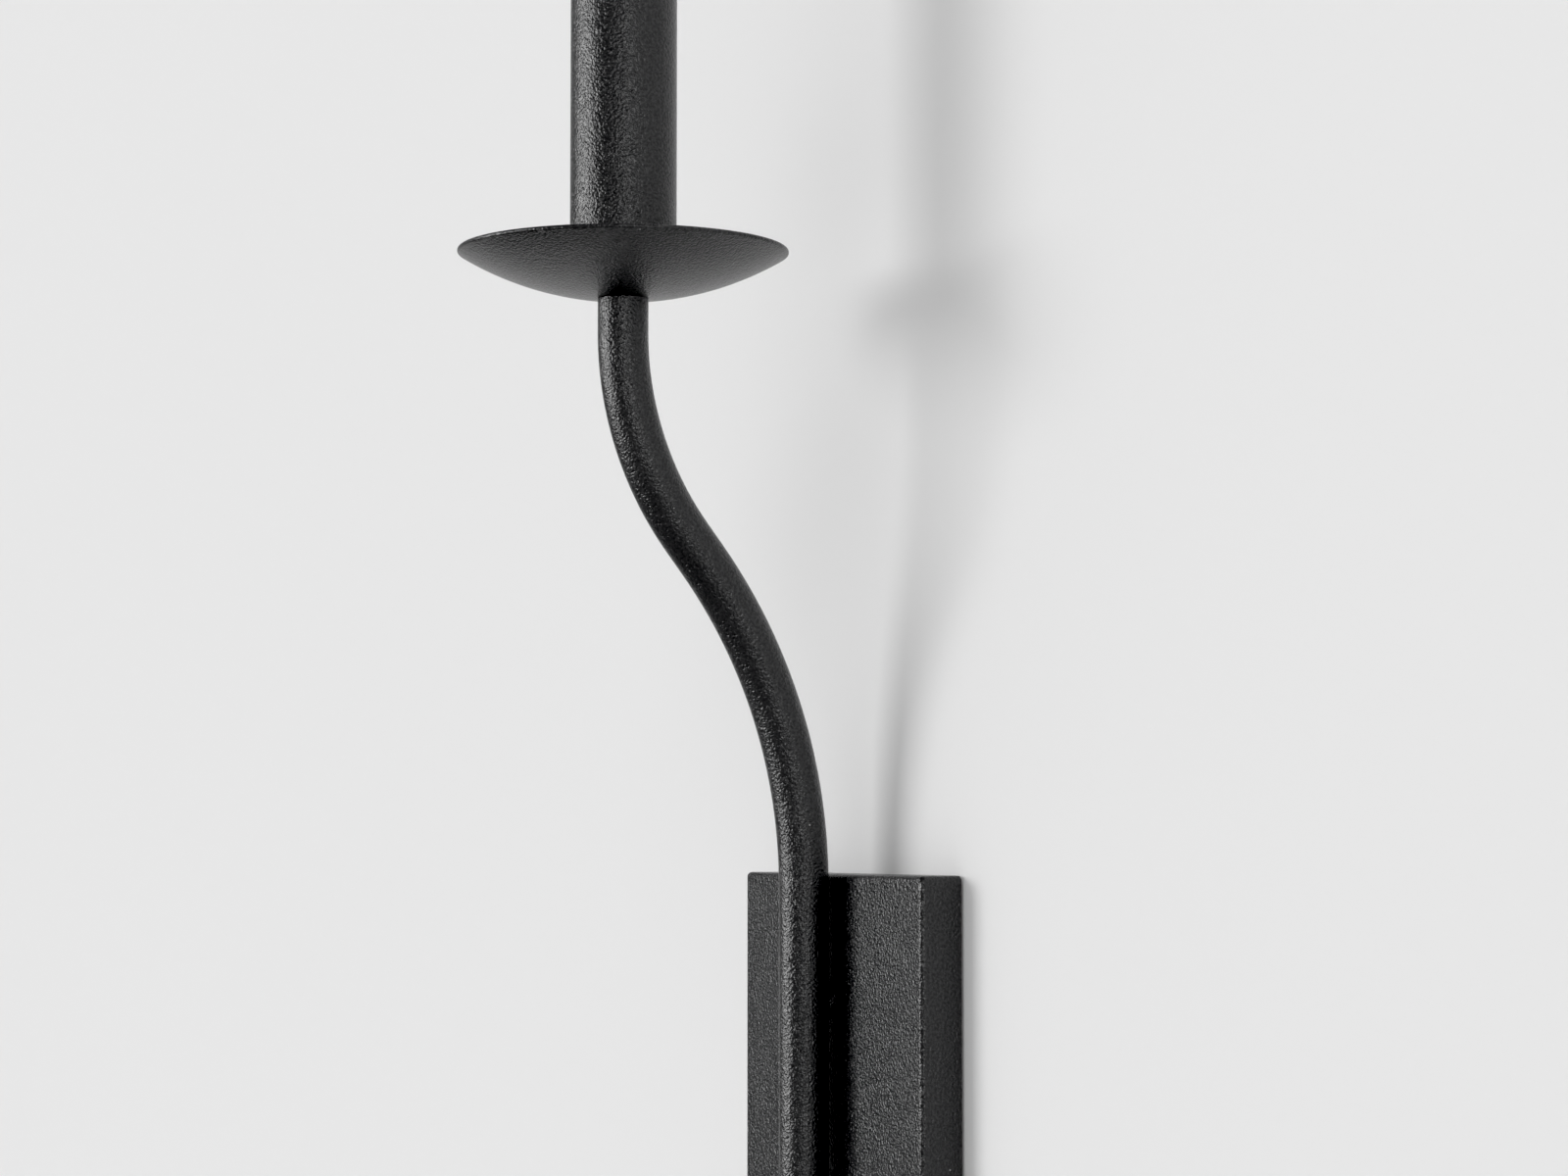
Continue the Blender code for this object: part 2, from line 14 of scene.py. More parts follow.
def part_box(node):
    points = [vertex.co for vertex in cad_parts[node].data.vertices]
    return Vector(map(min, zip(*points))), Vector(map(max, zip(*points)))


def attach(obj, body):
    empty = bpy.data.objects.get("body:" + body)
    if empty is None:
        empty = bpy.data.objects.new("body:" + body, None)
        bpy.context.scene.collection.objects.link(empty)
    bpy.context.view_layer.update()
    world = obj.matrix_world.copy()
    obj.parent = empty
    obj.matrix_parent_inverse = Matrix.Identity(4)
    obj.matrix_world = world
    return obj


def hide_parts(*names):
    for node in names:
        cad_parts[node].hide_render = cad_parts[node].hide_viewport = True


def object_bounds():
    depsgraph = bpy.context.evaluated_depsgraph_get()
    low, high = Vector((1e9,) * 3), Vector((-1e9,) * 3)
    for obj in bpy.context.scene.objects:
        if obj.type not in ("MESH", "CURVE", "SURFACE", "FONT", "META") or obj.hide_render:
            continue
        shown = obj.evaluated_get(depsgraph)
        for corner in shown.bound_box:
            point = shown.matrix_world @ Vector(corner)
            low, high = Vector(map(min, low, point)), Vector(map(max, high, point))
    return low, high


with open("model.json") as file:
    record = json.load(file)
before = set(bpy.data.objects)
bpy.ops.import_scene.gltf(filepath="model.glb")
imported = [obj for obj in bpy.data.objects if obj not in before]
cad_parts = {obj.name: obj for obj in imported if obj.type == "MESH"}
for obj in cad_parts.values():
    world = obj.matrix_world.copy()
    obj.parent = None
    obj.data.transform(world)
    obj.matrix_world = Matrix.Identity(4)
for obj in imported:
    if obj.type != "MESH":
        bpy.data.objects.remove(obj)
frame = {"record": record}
CAD_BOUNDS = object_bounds()
BODY_OF = {node: body for body, nodes in frame["record"]["behaviour"]["bodies"].items() for node in nodes}

MM = 0.001
GAP = 0.3 * MM              # clearance that the frame leaves between two pieces

# Back plate, doubler and spacers
SHEET = 2.0 * MM
PLATE_EDGE = 1.2 * MM
PLATE_INNER_CORNER = 0.2 * MM
PLATE_INNER_EDGE = 0.5 * MM
RIM_EDGE = 0.4 * MM
DOUBLER_CORNER = 3.0 * MM
SPACER_REGISTER = 3.0 * MM  # radius of the step that sits in the plate's hole

# Arm
LOWER_BEND = 127.0 * MM
UPPER_BEND = 78.0 * MM
BEND_ANGLE = math.radians(38.5)
BEND_BELOW_EDGE = 3.0 * MM  # the lower bend starts this far under the plate's upper edge
ROD_END_EDGE = 0.4 * MM
ARM_HOLE_DEPTH = 8.0 * MM
ROD_TO_DISH = 0.1 * MM
ROD_TOP_RINGS = (1, 0.8, 0.6)  # of the rod's radius

# Drip dish, candle tube, spigot and seat
DISH_RADIUS = 39.6 * MM
DISH_DEPTH = 10.9 * MM
DISH_SHEET = 1.2 * MM
DISH_SPHERE = (DISH_RADIUS ** 2 + DISH_DEPTH ** 2) / (2 * DISH_DEPTH)
DISH_INNER_SPHERE = DISH_SPHERE - DISH_SHEET
TUBE_BORE = 11.25 * MM
TUBE_EDGE = 0.4 * MM
SPIGOT_WALL = 1.5 * MM
SPIGOT_FLOOR = 3.0 * MM
SPIGOT_FILLET = 1.0 * MM
SEAT_SHEET = 1.2 * MM
SEAT_EDGE = 0.9 * MM

# Wall bracket and cleat
LIP_HEIGHT = 10.0 * MM
LIP_BACK = 3.2 * MM
JOGGLE = 4.0 * MM
BEND_INSIDE = 0.5 * MM
BEND_OUTSIDE = 2.2 * MM
BRACKET_CORNER = 4.0 * MM
TAB_CORNER = 2.5 * MM
WALL_HOLE = 2.6 * MM
WALL_HOLE_HEIGHT = 12.0 * MM
WALL_SLOT_HEIGHT = -40.0 * MM
WALL_SLOT_TRAVEL = 6.0 * MM
ROUND_END_SHARE = 0.999     # of the half width, so that the end's two arcs don't meet in a point

# Threads as (radius, pitch), screw heads and nuts
M3 = (1.5 * MM, 0.5 * MM)
M4 = (2.0 * MM, 0.7 * MM)
M6 = (3.0 * MM, 1.0 * MM)
THREAD_DEPTH_SHARE = 0.61   # of the pitch
THREAD_SLOPE = 1.4          # steeper than a plain zigzag, so that crests and roots are flat
THREAD_SAMPLES = 8          # along one pitch
HEAD_HEIGHT_SHARE = 1.1     # of the thread's radius
HEAD_LAND_SHARE = 0.14      # straight edge under the dome, of the head's height
HEAD_DOME = math.radians(60)
SOCKET_WIDTH_SHARE = 1.25
SOCKET_DEPTH_SHARE = 0.6
NUT_FACE_SHARE = 0.95       # round bearing face, of the width across flats
NUT_CHAMFER = math.radians(28)
SPLIT = math.radians(10)

# Edges of small sheet and turned parts
SOFT_EDGE = 0.25 * MM
SMALL_EDGE = 0.15 * MM

# Fineness
ARM_STEPS = 96
BEND_STEP = math.radians(1.4)
DISH_STEPS = 192
DISH_ARC_STEPS = 28
TUBE_STEPS = 128
SMALL_STEPS = 48
THREAD_STEPS = 32
FILLET_STEPS = 6
SMOOTH_ANGLE = math.radians(38)
MERGE = 1e-6

# Camera
VIEW_AZIMUTH = math.radians(62.94)  # from the front towards +X
VIEW_PITCH = math.radians(3.736)    # upwards
VIEW_DISTANCE = 0.909
VIEW_SIDESTEP = -0.0214
EYE_ABOVE_PLATE = 0.0112
LENS_MM = 84.4

# Stage
FLOOR_DROP = 0.30                   # floor below the object
COVE = 0.12
WALL_TOP = 6.0
FLOOR_REACH = 40.0
WALL_BEHIND = 0.1 * MM
COVE_STEPS = 24
PALE = 0.84

# Light: the room's brightness, then the lamps
ROOM_LIGHT = 0.50                   # as it lights the pieces
ROOM_LEFT = 0.20                    # as it's mirrored, in front of the wall on the left
ROOM_SIDE = 0.10                    # level with the wall on the left
ROOM_RIGHT = 0.10                   # on the right
ROOM_LOW = 0.40                     # low on the right
ROOM_FLOOR = 0.05                   # straight down
ROOM_BEHIND = 0.60                  # behind the wall
ROOM_SEEN = 0.80                    # as the camera sees it
SUN_DISTANCE = 3.0
GLEAM_DISTANCE = 2.6
REAR_DISTANCE = 2.2
BLACK = 0.013                       # light that shows as black


# ---------------------------------------------------------------- mesh tools

def new_piece(name, bm):
    bmesh.ops.recalc_face_normals(bm, faces=bm.faces)
    mesh = bpy.data.meshes.new(name)
    bm.to_mesh(mesh)
    bm.free()
    obj = bpy.data.objects.new(name, mesh)
    bpy.context.scene.collection.objects.link(obj)
    return obj


def bake(obj):
    """Replace the mesh by what the modifiers make of it."""
    graph = bpy.context.evaluated_depsgraph_get()
    before = obj.data
    obj.data = bpy.data.meshes.new_from_object(obj.evaluated_get(graph))
    obj.modifiers.clear()
    bpy.data.meshes.remove(before)


def carve(obj, tool, operation='DIFFERENCE'):
    boolean = obj.modifiers.new(tool.name, 'BOOLEAN')
    boolean.operation = operation
    boolean.solver = 'EXACT'
    boolean.object = tool
    bake(obj)
    shape = tool.data
    bpy.data.objects.remove(tool)
    bpy.data.meshes.remove(shape)


def soften(obj, width=SOFT_EDGE, segments=3):
    """Round every sharp edge."""
    bevel = obj.modifiers.new("soft_edges", 'BEVEL')
    bevel.width = width
    bevel.segments = segments
    bevel.limit_method = 'ANGLE'
    bevel.angle_limit = SMOOTH_ANGLE
    bevel.miter_outer = 'MITER_ARC'
    bake(obj)


def upright(centre):
    """Local +Z stays up, about a vertical axis through the centre; heights are true heights."""
    return Matrix.Translation((centre.x, centre.y, 0))


def facing_front(height):
    """Local +Z points to the front and counts from the wall, about a level axis at this height."""
    return Matrix.Translation((0, 0, height)) @ Matrix.Rotation(math.radians(90), 4, 'X')


ACROSS = Matrix(((0, 0, 1, 0), (-1, 0, 0, 0), (0, 1, 0, 0), (0, 0, 0, 1)))  # (depth, height) along X


def rounded(corners, closed=True, steps=FILLET_STEPS):
    """Outline through (a, b, radius) corners: each corner that has a radius becomes an arc."""
    outline = []
    count = len(corners)
    for index, (a, b, radius) in enumerate(corners):
        corner = Vector((a, b))
        if radius == 0 or (not closed and index in (0, count - 1)):
            outline.append((a, b))
            continue
        back = (Vector(corners[index - 1][:2]) - corner).normalized()
        ahead = (Vector(corners[(index + 1) % count][:2]) - corner).normalized()
        half = back.angle(ahead) / 2
        centre = corner + (back + ahead).normalized() * radius / math.sin(half)
        start = corner + back * radius / math.tan(half) - centre
        end = corner + ahead * radius / math.tan(half) - centre
        sweep = start.angle(end)
        for step in range(steps + 1):
            share = step / steps
            point = (start * math.sin((1 - share) * sweep) + end * math.sin(share * sweep)) / math.sin(sweep)
            outline.append(tuple(centre + point))
    return outline


def plain(points):
    """Corners without a radius."""
    return [(a, b, 0) for a, b in points]


def skin(bm, rows, closed_rows=True):
    """Faces between neighbouring rows of vertices; a row of one vertex is a point."""
    for low, high in zip(rows, rows[1:]):
        count = max(len(low), len(high))
        for index in range(count if closed_rows else count - 1):
            follow = (index + 1) % count
            corners = [low[index % len(low)], low[follow % len(low)],
                       high[follow % len(high)], high[index % len(high)]]
            corners = list(dict.fromkeys(corners))
            if len(corners) > 2:
                bm.faces.new(corners)


def turned(name, outline, place, steps=SMALL_STEPS, thread=None):
    """Solid of revolution of (radius, height) points about local Z; a thread lowers the radius."""
    bm = bmesh.new()
    rows = []
    for radius, height in outline:
        if radius < MERGE:
            rows.append([bm.verts.new((0, 0, height))])
            continue
        row = []
        for step in range(steps):
            angle = math.tau * step / steps
            reach = radius - (thread(height, step / steps) if thread else 0)
            row.append(bm.verts.new((reach * math.cos(angle), reach * math.sin(angle), height)))
        rows.append(row)
    if len(rows[0]) > 1:
        rows.append(rows[0])
    skin(bm, rows)
    bmesh.ops.transform(bm, matrix=place, verts=bm.verts)
    return new_piece(name, bm)


def prism(name, outline, low, high, place):
    """An outline in local XY, extruded along local Z."""
    bm = bmesh.new()
    face = bm.faces.new([bm.verts.new((a, b, low)) for a, b in outline])
    side = bmesh.ops.extrude_face_region(bm, geom=[face])
    moved = [item for item in side["geom"] if isinstance(item, bmesh.types.BMVert)]
    bmesh.ops.translate(bm, vec=(0, 0, high - low), verts=moved)
    bmesh.ops.transform(bm, matrix=place, verts=bm.verts)
    return new_piece(name, bm)


def bar(name, outline, width):
    """A bent strap: an outline of (depth from the wall, height), extruded across X."""
    return prism(name, outline, -width / 2, width / 2, ACROSS)


def drill(obj, radius, low, high, place):
    hole = turned("drill", [(0, low), (radius, low), (radius, high), (0, high)], place)
    carve(obj, hole)


def hexagon_outline(width):
    radius = width / math.sqrt(3)
    return [(radius * math.cos(math.radians(60 * k)), radius * math.sin(math.radians(60 * k)))
            for k in range(6)]


def rectangle_outline(half_width, half_height, radius):
    corners = [(half_width, half_height), (-half_width, half_height),
               (-half_width, -half_height), (half_width, -half_height)]
    return rounded([(a, b, radius) for a, b in corners])


def stand_for(obj, node, material):
    """Give the piece its finish, let it stand for the node and ride on that node's body."""
    obj.data.shade_smooth()
    obj.data.set_sharp_from_angle(angle=SMOOTH_ANGLE)
    obj.data.materials.clear()
    obj.data.materials.append(material)
    normals = obj.modifiers.new("flat_faces_first", 'WEIGHTED_NORMAL')
    normals.keep_sharp = True
    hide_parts(node)
    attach(obj, BODY_OF[node])


def middle(node):
    low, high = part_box(node)
    return (low + high) / 2


# ---------------------------------------------------------------- pieces

def make_plate_shell(coat):
    """Rounded-rectangle loops, from the middle of the inside, over the rim and round to the front."""
    low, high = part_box("back_plate")
    front, rim = -low.y, -high.y
    inside = front - SHEET
    profile = rounded([(3 * SHEET, inside, 0), (SHEET, inside, PLATE_INNER_EDGE), (SHEET, rim, RIM_EDGE),
                       (0, rim, RIM_EDGE), (0, front, PLATE_EDGE), (3 * SHEET, front, 0)], closed=False)
    bm = bmesh.new()
    rows = []
    for offset, depth in profile:
        radius = max(PLATE_EDGE - offset, PLATE_INNER_CORNER)
        loop = rectangle_outline(high.x - offset, high.z - offset, radius)
        rows.append([bm.verts.new((x, -depth, z)) for x, z in loop])
    skin(bm, rows)
    bm.faces.new(rows[0])
    bm.faces.new(rows[-1])
    shell = new_piece("plate_shell", bm)
    for end in ("upper", "lower"):
        height = middle("arm_spacer_" + end).z
        drill(shell, SPACER_REGISTER + GAP, inside - SHEET, front + SHEET, facing_front(height))
    lock = middle("lock_screw")
    drill(shell, M3[0] + GAP, low.z - SHEET, low.z + 2 * SHEET, upright(lock))
    stand_for(shell, "back_plate", coat)


def make_doubler_bar(coat):
    low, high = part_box("doubler_plate")
    outline = rectangle_outline(high.x, high.z, DOUBLER_CORNER)
    doubler = prism("doubler_bar", outline, -high.y, -low.y, facing_front(0))
    for end in ("upper", "lower"):
        height = middle("arm_spacer_" + end).z
        drill(doubler, M4[0] + GAP, -high.y - SHEET, -low.y + SHEET, facing_front(height))
    soften(doubler)
    stand_for(doubler, "doubler_plate", coat)


def make_cleat_strap(coat):
    """Hook down behind the bracket's lip, web over it and leg up the doubler."""
    low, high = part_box("hanger_cleat")
    back, front = -high.y, -low.y
    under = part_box("wall_bracket")[1].z + GAP
    over = under + SHEET
    corners = [(back, low.z, 0), (back, over, BEND_OUTSIDE), (front - SHEET, over, BEND_INSIDE),
               (front - SHEET, high.z, 0), (front, high.z, 0), (front, under, BEND_OUTSIDE),
               (back + SHEET, under, BEND_INSIDE), (back + SHEET, low.z, 0)]
    cleat = bar("cleat_strap", rounded(corners), high.x - low.x)
    soften(cleat)
    stand_for(cleat, "hanger_cleat", coat)


def make_bracket_strap(zinc):
    """A strap joggled into a lip at its upper end and bent into a tab at its lower end."""
    low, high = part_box("wall_bracket")
    tab_depth = -low.y
    tab_top = low.z + SHEET
    lip_foot = high.z - LIP_HEIGHT
    lip_front = LIP_BACK + SHEET
    drop = SHEET * math.tan(math.atan2(LIP_BACK, JOGGLE) / 2)
    corners = [(0, low.z, BEND_OUTSIDE), (0, lip_foot - JOGGLE, BEND_OUTSIDE),
               (LIP_BACK, lip_foot, BEND_INSIDE), (LIP_BACK, high.z, 0), (lip_front, high.z, 0),
               (lip_front, lip_foot - drop, BEND_OUTSIDE), (SHEET, lip_foot - JOGGLE - drop, BEND_INSIDE),
               (SHEET, tab_top, BEND_INSIDE), (tab_depth, tab_top, 0), (tab_depth, low.z, 0)]
    strap = bar("bracket_strap", rounded(corners), high.x - low.x)
    # Rounded corners of the lip, seen from the front, and of the tab, seen from below
    bottom = low.z - BRACKET_CORNER
    lip_shape = rounded([(high.x, high.z, BRACKET_CORNER), (low.x, high.z, BRACKET_CORNER),
                         (low.x, bottom, 0), (high.x, bottom, 0)])
    carve(strap, prism("lip_shape", lip_shape, -SHEET, 2 * tab_depth, facing_front(0)), 'INTERSECT')
    tab_shape = rounded([(high.x, low.y, TAB_CORNER), (low.x, low.y, TAB_CORNER),
                         (low.x, SHEET, 0), (high.x, SHEET, 0)])
    carve(strap, prism("tab_shape", tab_shape, bottom, 2 * high.z, Matrix.Identity(4)), 'INTERSECT')
    drill(strap, WALL_HOLE, -SHEET, 2 * SHEET, facing_front(WALL_HOLE_HEIGHT))
    slot_shape = rectangle_outline(WALL_SLOT_TRAVEL / 2 + WALL_HOLE, WALL_HOLE, WALL_HOLE * ROUND_END_SHARE)
    carve(strap, prism("slot_shape", slot_shape, -SHEET, 2 * SHEET, facing_front(WALL_SLOT_HEIGHT)))
    drill(strap, M3[0] + GAP, low.z - SHEET, low.z + 2 * SHEET, upright(middle("lock_screw")))
    soften(strap)
    stand_for(strap, "wall_bracket", zinc)


def arm_line(bottom, top, reach, bend_start):
    """Centre line of the rod as (forward, height, lean from vertical), from its lower end up."""
    run = (reach - (LOWER_BEND + UPPER_BEND) * (1 - math.cos(BEND_ANGLE))) / math.sin(BEND_ANGLE)
    steps = math.ceil(BEND_ANGLE / BEND_STEP)
    line = [(0, bottom, 0)]
    for step in range(steps + 1):
        lean = BEND_ANGLE * step / steps
        line.append((LOWER_BEND * (1 - math.cos(lean)), bend_start + LOWER_BEND * math.sin(lean), lean))
    forward = line[-1][0] + run * math.sin(BEND_ANGLE)
    height = line[-1][1] + run * math.cos(BEND_ANGLE)
    for step in range(steps + 1):
        lean = BEND_ANGLE * (1 - step / steps)
        line.append((forward + UPPER_BEND * (math.cos(lean) - math.cos(BEND_ANGLE)),
                     height + UPPER_BEND * (math.sin(BEND_ANGLE) - math.sin(lean)), lean))
    line.append((reach, top, 0))
    return line


def dish_rise(radius):
    """Height of the dish's underside over its lowest point."""
    return DISH_SPHERE - math.sqrt(DISH_SPHERE ** 2 - radius ** 2)


def make_arm_rod(coat):
    """The upper end is hollowed to fit the dish."""
    low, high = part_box("arm")
    radius = high.x
    axis = high.y - radius
    reach = axis - (low.y + radius)
    line = arm_line(low.z, high.z, reach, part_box("back_plate")[1].z - BEND_BELOW_EDGE)
    sections = []
    for step in range(FILLET_STEPS + 1):
        angle = math.radians(90) * step / FILLET_STEPS
        inset = ROD_END_EDGE * (1 - math.sin(angle))
        rise = ROD_END_EDGE * (1 - math.cos(angle))
        sections.append((radius - inset, rise))
    under_dish = high.z + GAP - ROD_TO_DISH
    rings = [(0, low.z + rise, 0, size) for size, rise in sections]
    rings += [(*point, radius) for point in line[1:-1]]
    rings += [(reach, under_dish + dish_rise(share * radius), 0, share * radius)
              for share in ROD_TOP_RINGS]
    bm = bmesh.new()
    rows = []
    for forward, height, lean, size in rings:
        row = []
        for step in range(ARM_STEPS):
            angle = math.tau * step / ARM_STEPS
            out = size * math.sin(angle)
            row.append(bm.verts.new((size * math.cos(angle), axis - forward - out * math.cos(lean),
                                     height - out * math.sin(lean))))
        rows.append(row)
    skin(bm, rows)
    bm.faces.new(rows[0])
    bm.faces.new(rows[-1])
    rod = new_piece("arm_rod", bm)
    for end in ("upper", "lower"):
        screw = facing_front(middle("arm_spacer_" + end).z)
        drill(rod, M4[0] + GAP, -high.y - SHEET, -high.y + ARM_HOLE_DEPTH, screw)
    stud_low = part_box("stud")[0]
    drill(rod, M6[0] + GAP, stud_low.z - GAP, high.z + SHEET, upright(middle("stud")))
    stand_for(rod, "arm", coat)


def make_rod_spacers(coat):
    """Turned bosses with a step into the plate's hole and a saddle that fits the rod."""
    arm_low, arm_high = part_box("arm")
    rod_radius = arm_high.x
    rod_axis = rod_radius - arm_high.y
    plate_front = -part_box("back_plate")[0].y
    for end in ("upper", "lower"):
        node = "arm_spacer_" + end
        low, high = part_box(node)
        bore = M4[0] + GAP
        step = plate_front + GAP
        outline = rounded([(bore, -high.y, SMALL_EDGE), (SPACER_REGISTER, -high.y, SMALL_EDGE),
                           (SPACER_REGISTER, step, 0), (high.x, step, SOFT_EDGE),
                           (high.x, rod_axis, 0), (bore, rod_axis, 0)])
        spacer = turned("rod_spacer_" + end, outline, facing_front(middle(node).z))
        saddle = turned("saddle", [(0, arm_low.z), (rod_radius + GAP, arm_low.z),
                                   (rod_radius + GAP, arm_high.z), (0, arm_high.z)],
                        upright(Vector((0, -rod_axis, 0))), ARM_STEPS)
        carve(spacer, saddle)
        stand_for(spacer, node, coat)


def make_drip_bowl(coat):
    """A pressed spherical cap with a rounded edge and a hole for the stud."""
    low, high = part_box("drip_dish")
    hole = M6[0] + GAP
    centre_height = low.z + math.sqrt(DISH_SPHERE ** 2 - hole ** 2)
    rim_angle = math.asin(DISH_RADIUS / DISH_SPHERE)
    under = cap_arc(DISH_SPHERE, hole, DISH_RADIUS, centre_height)
    inside = cap_arc(DISH_INNER_SPHERE, hole, DISH_INNER_SPHERE * math.sin(rim_angle), centre_height)
    edge = []
    sheet_middle = DISH_SPHERE - DISH_SHEET / 2
    for step in range(1, 2 * FILLET_STEPS):
        turn = rim_angle - math.pi / 2 + math.pi * step / (2 * FILLET_STEPS)
        edge.append((sheet_middle * math.sin(rim_angle) + DISH_SHEET / 2 * math.cos(turn),
                     centre_height - sheet_middle * math.cos(rim_angle) + DISH_SHEET / 2 * math.sin(turn)))
    bowl = turned("drip_bowl", under + edge + inside[::-1], upright(middle("drip_dish")), DISH_STEPS)
    stand_for(bowl, "drip_dish", coat)
    return centre_height


def cap_arc(sphere, inner, outer, centre_height):
    """Points (radius, height) on the lower side of a sphere about the dish's axis."""
    first, last = math.asin(inner / sphere), math.asin(outer / sphere)
    points = []
    for step in range(DISH_ARC_STEPS + 1):
        angle = first + (last - first) * step / DISH_ARC_STEPS
        points.append((sphere * math.sin(angle), centre_height - sphere * math.cos(angle)))
    return points


def make_spigot_cup(zinc, dish_centre):
    """A turned cup whose underside follows the dish."""
    low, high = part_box("tube_spigot")
    radius = high.x
    hole = M6[0] + GAP
    under_sphere = DISH_INNER_SPHERE - GAP
    under = cap_arc(under_sphere, hole, radius, dish_centre)
    floor = dish_centre - under_sphere + SPIGOT_FLOOR
    inner = radius - SPIGOT_WALL
    outline = plain(under[:-1]) + [(*under[-1], 0), (radius, high.z, TUBE_EDGE), (inner, high.z, TUBE_EDGE),
                                   (inner, floor, SPIGOT_FILLET), (hole, floor, SMALL_EDGE)]
    cup = turned("spigot_cup", rounded(outline), upright(middle("tube_spigot")), TUBE_STEPS)
    stand_for(cup, "tube_spigot", zinc)


def make_tube_shell(coat):
    low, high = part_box("candle_tube")
    radius = high.x
    outline = rounded([(TUBE_BORE, low.z, TUBE_EDGE), (radius, low.z, TUBE_EDGE),
                       (radius, high.z, TUBE_EDGE), (TUBE_BORE, high.z, TUBE_EDGE)])
    tube = turned("tube_shell", outline, upright(middle("candle_tube")), TUBE_STEPS)
    stand_for(tube, "candle_tube", coat)


def make_seat_cup(zinc):
    """A pressed disc with a skirt that grips the tube's bore."""
    low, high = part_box("candle_seat")
    radius = high.x
    inner = radius - SEAT_SHEET
    under = high.z - SEAT_SHEET
    corners = [(0, high.z, 0), (radius, high.z, SEAT_EDGE), (radius, low.z, SMALL_EDGE),
               (inner, low.z, SMALL_EDGE), (inner, under, SMALL_EDGE), (0, under, 0)]
    seat = turned("seat_cup", rounded(corners, closed=False), upright(middle("candle_seat")), TUBE_STEPS)
    stand_for(seat, "candle_seat", zinc)


def helix(thread, low, high):
    """How far a thread between two heights cuts into the rod, at a height and a share of a turn."""
    pitch = thread[1]
    depth = THREAD_DEPTH_SHARE * pitch

    def cut_at(height, turn):
        wave = abs(2 * ((height / pitch - turn) % 1) - 1)
        fade = min(1, max(0, (height - low) / pitch), max(0, (high - height) / pitch))
        return depth * min(1, max(0, THREAD_SLOPE * (wave - 0.5) + 0.5)) * fade

    return cut_at


def thread_heights(thread, low, high):
    count = math.ceil((high - low) / thread[1] * THREAD_SAMPLES)
    return [low + (high - low) * step / count for step in range(count + 1)]


def make_threaded_stud(zinc):
    low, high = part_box("stud")
    radius, pitch = M6
    chamfer = pitch / 2
    heights = thread_heights(M6, low.z + chamfer, high.z - chamfer)
    outline = [(0, low.z), (radius - chamfer, low.z)] + [(radius, height) for height in heights]
    outline += [(radius - chamfer, high.z), (0, high.z)]
    stud = turned("threaded_stud", outline, upright(middle("stud")), THREAD_STEPS,
                  helix(M6, low.z + chamfer, high.z - chamfer))
    stand_for(stud, "stud", zinc)


def button_screw(name, node, thread, head_end, tip, place, material):
    """Domed head with a hexagon socket, and a threaded shank; local Z runs from head to tip."""
    radius, pitch = thread
    head_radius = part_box(node)[1].x
    head_height = radius * HEAD_HEIGHT_SHARE
    bearing = head_end + head_height
    land = head_height * HEAD_LAND_SHARE
    dome = []
    for step in range(2 * FILLET_STEPS + 1):
        angle = HEAD_DOME * (1 - step / (2 * FILLET_STEPS))
        drop = land + (head_height - land) * math.sin(angle) / math.sin(HEAD_DOME)
        dome.append((head_radius * math.cos(angle), bearing - drop))
    chamfer = pitch / 2
    heights = thread_heights(thread, bearing, tip - chamfer)
    outline = [(0, head_end), *dome, (head_radius, bearing)]
    outline += [(radius, height) for height in heights]
    outline += [(radius - chamfer, tip), (0, tip)]

    def cut_at(height, turn):
        return shank_cut(height, turn) if height > bearing else 0

    shank_cut = helix(thread, bearing, tip - chamfer)
    screw = turned(name, outline, place, THREAD_STEPS, cut_at)
    socket_floor = head_end + radius * SOCKET_DEPTH_SHARE * 2
    socket = prism("socket", hexagon_outline(radius * SOCKET_WIDTH_SHARE), head_end - head_height,
                   socket_floor, place)
    carve(screw, socket)
    stand_for(screw, node, material)


def make_screws(zinc, dark):
    for end in ("upper", "lower"):
        node = "arm_screw_" + end
        low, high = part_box(node)
        button_screw("plate_screw_" + end, node, M4, -high.y, -low.y, facing_front(middle(node).z), zinc)
    low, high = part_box("lock_screw")
    button_screw("locking_screw", "lock_screw", M3, low.z, high.z, upright(middle("lock_screw")), dark)


def washer_outline(inner, outer, low, high):
    return rounded([(inner, low, SMALL_EDGE), (outer, low, SMALL_EDGE),
                    (outer, high, SMALL_EDGE), (inner, high, SMALL_EDGE)])


def make_washers(zinc):
    for end in ("upper", "lower"):
        node = "arm_washer_" + end
        low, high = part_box(node)
        outline = washer_outline(M4[0] + GAP, high.x, -high.y, -low.y)
        washer = turned("plate_washer_" + end, outline, facing_front(middle(node).z))
        stand_for(washer, node, zinc)
    low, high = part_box("stud_washer")
    outline = washer_outline(M6[0] + GAP, high.x, low.z, high.z)
    washer = turned("stud_flat_washer", outline, upright(middle("stud_washer")))
    stand_for(washer, "stud_washer", zinc)


def make_spring_washer(zinc):
    """A ring of square section, split at one place."""
    low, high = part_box("stud_lock_washer")
    centre = middle("stud")
    outline = washer_outline(M6[0] + GAP, high.x, low.z, high.z)
    bm = bmesh.new()
    rows = []
    for step in range(SMALL_STEPS + 1):
        angle = (math.tau - SPLIT) * step / SMALL_STEPS
        rows.append([bm.verts.new((centre.x + radius * math.cos(angle), centre.y + radius * math.sin(angle),
                                   height)) for radius, height in outline])
    skin(bm, rows)
    bm.faces.new(rows[0])
    bm.faces.new(rows[-1])
    stand_for(new_piece("stud_spring_washer", bm), "stud_lock_washer", zinc)


